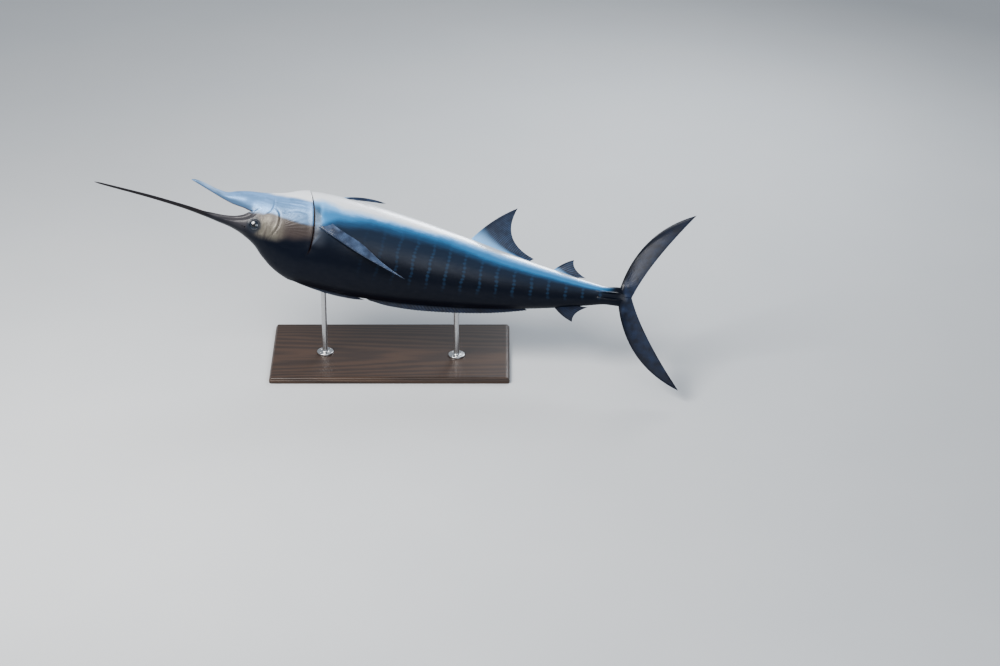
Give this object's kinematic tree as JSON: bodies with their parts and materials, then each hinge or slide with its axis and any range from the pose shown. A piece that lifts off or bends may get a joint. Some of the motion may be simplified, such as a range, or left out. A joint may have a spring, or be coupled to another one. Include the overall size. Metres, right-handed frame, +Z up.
{
  "type": "blue marlin",
  "caption": "Life-size still model of a blue marlin, mouth open and rolled almost belly up as it thrashes at the surface, held by two rods over a flat display base.",
  "frame": {"origin": "middle of the underside of the display base, which rests on the floor at z = 0", "axes": "+Z up, +X from the fish's head towards its tail, along the length of the base, -Y towards the side that the picture shows"},
  "size_m": [3.2125, 0.8693, 1.045],
  "materials": {
    "back_skin": "wet, smooth, near-black blue",
    "cheek_skin": "wet, smooth, bronze",
    "silver_skin": "wet, smooth, silvery blue",
    "bill_skin": "finely rough, black-brown",
    "fin_skin": "wet, ribbed, dark blue",
    "pectoral_skin": "wet, ribbed, blue-grey",
    "eye": "clear and glossy over dark blue",
    "stand_wood": "dark, satin varnish",
    "stand_steel": "brushed"
  },
  "bodies": {
    "root": {"bill": "bill_skin", "head": "cheek_skin", "gill_cover_right": "cheek_skin", "gill_cover_left": "cheek_skin", "lower_jaw": "silver_skin", "eye_right": "eye", "eye_left": "eye", "trunk_front": "back_skin", "trunk_rear": "back_skin", "tail_stalk": "back_skin", "dorsal_fin_front": "fin_skin", "dorsal_fin_rear": "fin_skin", "dorsal_fin_second": "fin_skin", "anal_fin_first": "fin_skin", "anal_fin_second": "fin_skin", "tail_fin_back_lobe": "fin_skin", "tail_fin_belly_lobe": "fin_skin", "pectoral_fin_right": "pectoral_skin", "pectoral_fin_left": "pectoral_skin", "pelvic_fin_right": "fin_skin", "pelvic_fin_left": "fin_skin", "stand_base": "stand_wood", "stand_rod_front": "stand_steel", "stand_rod_rear": "stand_steel"}
  },
  "joints": []
}
